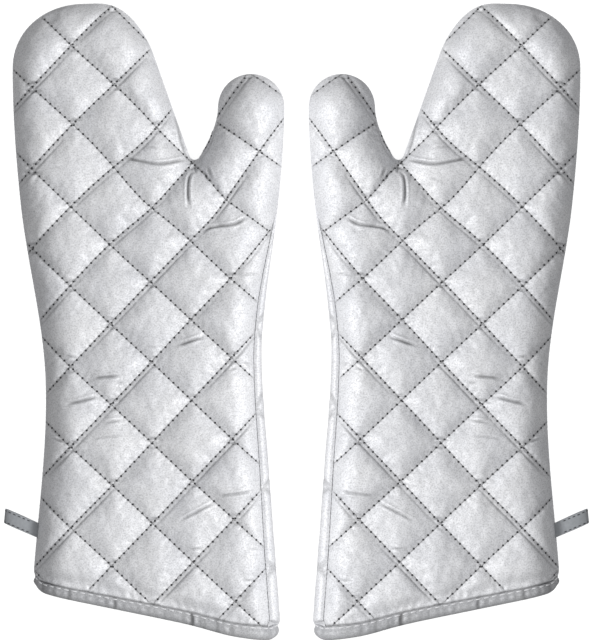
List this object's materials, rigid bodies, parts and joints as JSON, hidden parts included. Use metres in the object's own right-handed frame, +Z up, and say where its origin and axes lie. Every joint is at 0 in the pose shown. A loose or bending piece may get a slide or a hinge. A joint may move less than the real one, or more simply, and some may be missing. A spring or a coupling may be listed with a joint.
{
  "type": "heat resistant oven mitts",
  "caption": "Pair of long quilted heat resistant mitts with silver outer cloth, wadding, cotton lining, bound slanted cuffs and hanging loops.",
  "frame": {"origin": "on the surface that the pair lies on, under the middle of the pair", "axes": "+Y from the cuffs to the fingertips, +Z up out of the upper panels, +X towards the right mitt; the thumbs face each other"},
  "size_m": [0.4, 0.4324, 0.0419],
  "materials": {
    "silver_cloth": "aluminised silver coating on a fine plain weave, soft metallic sheen",
    "wadding": "matte polyester and cotton batting",
    "cotton_lining": "matte brushed cotton",
    "binding_tape": "silver coated bias tape, slightly creased",
    "thread": "dark grey spun polyester thread",
    "loop_tape": "blue grey woven cotton tape"
  },
  "bodies": {
    "left_mitt": {"left_front_shell": "silver_cloth", "left_front_wadding": "wadding", "left_front_lining": "cotton_lining", "left_front_quilting_thread": "thread", "left_back_shell": "silver_cloth", "left_back_wadding": "wadding", "left_back_lining": "cotton_lining", "left_back_quilting_thread": "thread", "left_cuff_binding": "binding_tape", "left_binding_thread": "thread", "left_side_seam_thread": "thread", "left_loop_tail": "loop_tape"},
    "left_loop": {"left_hanging_loop": "loop_tape"},
    "right_mitt": {"right_front_shell": "silver_cloth", "right_front_wadding": "wadding", "right_front_lining": "cotton_lining", "right_front_quilting_thread": "thread", "right_back_shell": "silver_cloth", "right_back_wadding": "wadding", "right_back_lining": "cotton_lining", "right_back_quilting_thread": "thread", "right_cuff_binding": "binding_tape", "right_binding_thread": "thread", "right_side_seam_thread": "thread", "right_loop_tail": "loop_tape"},
    "right_loop": {"right_hanging_loop": "loop_tape"}
  },
  "joints": [
    {"name": "left_loop_swing", "type": "hinge", "parent": "left_mitt", "child": "left_loop", "pos_m": [-0.17862, -0.1423, 0.02031], "axis": [0.0932, 0.9956, 0], "range_deg": [-40, 80]},
    {"name": "right_mitt_lift", "type": "slide", "parent": "left_mitt", "child": "right_mitt", "axis": [0, 0, 1], "range_m": [0, 0.25]},
    {"name": "right_loop_swing", "type": "hinge", "parent": "right_mitt", "child": "right_loop", "pos_m": [0.17862, -0.1423, 0.02031], "axis": [0.0932, -0.9956, 0], "range_deg": [-40, 80]}
  ]
}
